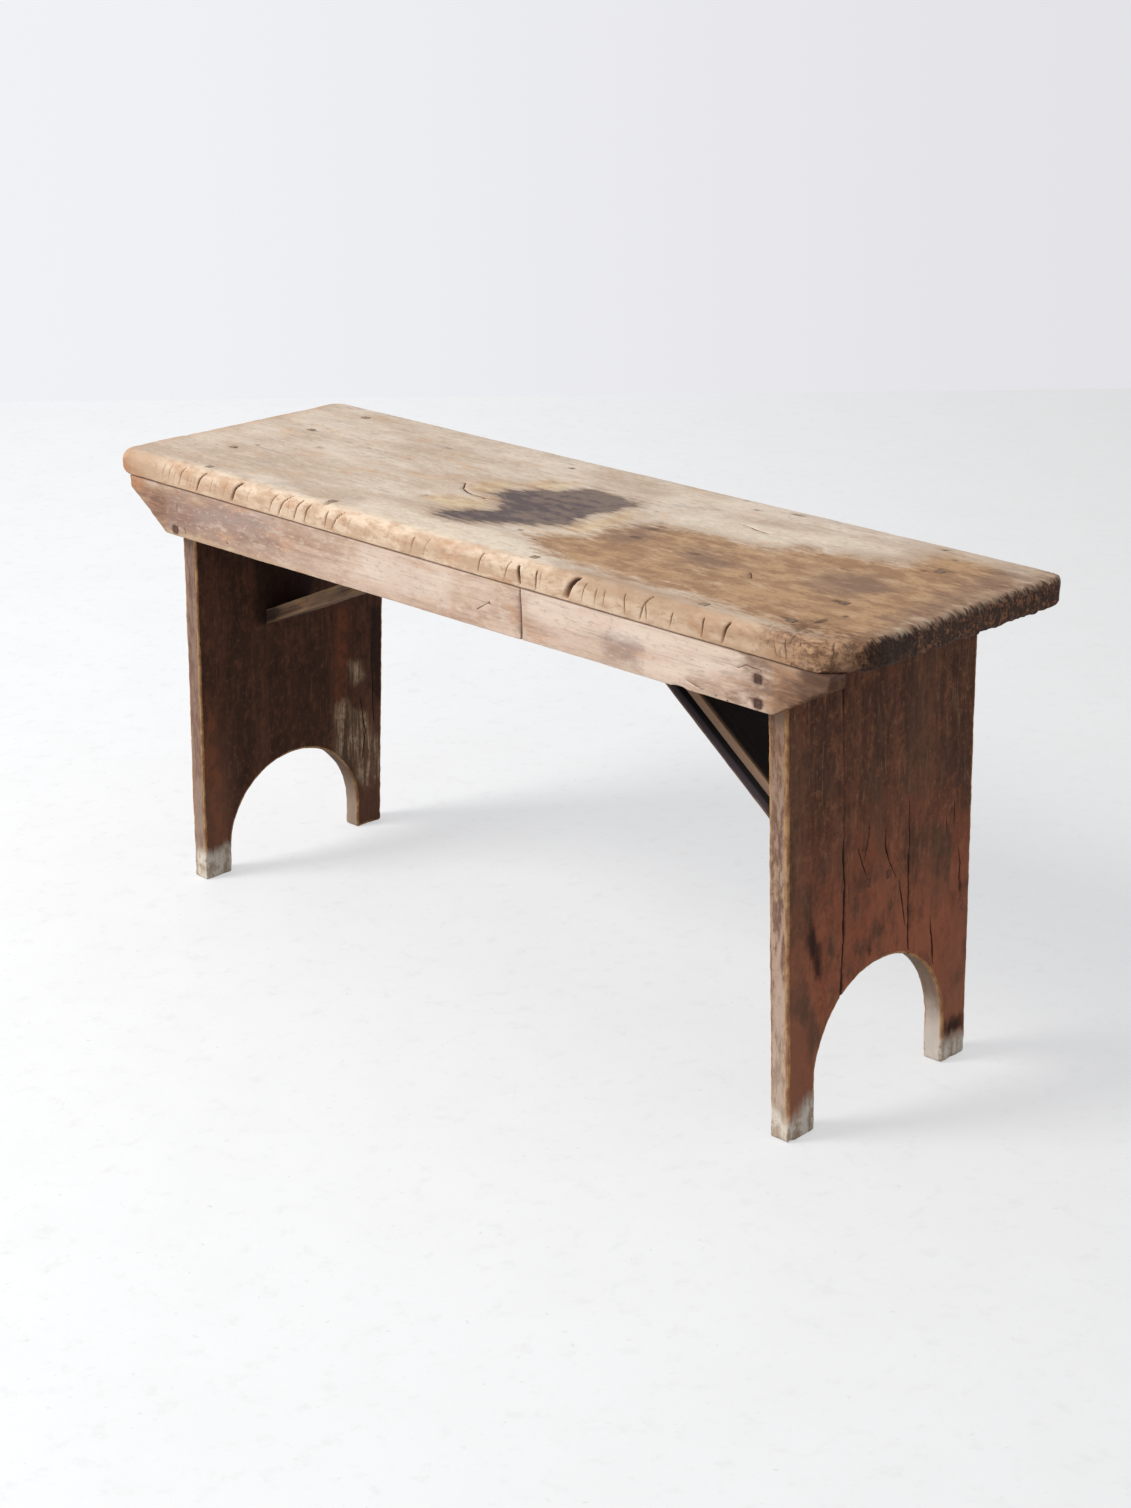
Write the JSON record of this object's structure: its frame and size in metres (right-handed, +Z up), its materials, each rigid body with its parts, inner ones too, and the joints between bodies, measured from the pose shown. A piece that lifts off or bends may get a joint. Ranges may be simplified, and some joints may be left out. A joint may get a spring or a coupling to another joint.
{
  "type": "bucket bench",
  "caption": "Low plank bench on splayed bootjack legs with a nailed front apron and a bevelled brace from each leg to the seat.",
  "frame": {"origin": "on the floor, under the middle of the seat", "axes": "+X along the seat to the right end, +Y to the back (the apron is at the front, at -Y), +Z up"},
  "size_m": [0.9265, 0.286, 0.449],
  "materials": {
    "seat_wood": "worn plank, pale where rubbed, with dark brown and grey stains",
    "apron_wood": "bare pinkish grey softwood",
    "leg_wood": "worn reddish brown paint over wood",
    "brace_wood": "bare greyed softwood",
    "nail_iron": "rusted wrought nail"
  },
  "bodies": {
    "root": {"seat_board": "seat_wood", "front_apron": "apron_wood", "left_leg": "leg_wood", "right_leg": "leg_wood", "left_brace": "brace_wood", "right_brace": "brace_wood", "left_seat_nails": "nail_iron", "right_seat_nails": "nail_iron", "seat_to_apron_nails": "nail_iron", "left_apron_nails": "nail_iron", "right_apron_nails": "nail_iron", "left_brace_foot_nails": "nail_iron", "right_brace_foot_nails": "nail_iron", "left_brace_head_nails": "nail_iron", "right_brace_head_nails": "nail_iron"}
  },
  "joints": []
}
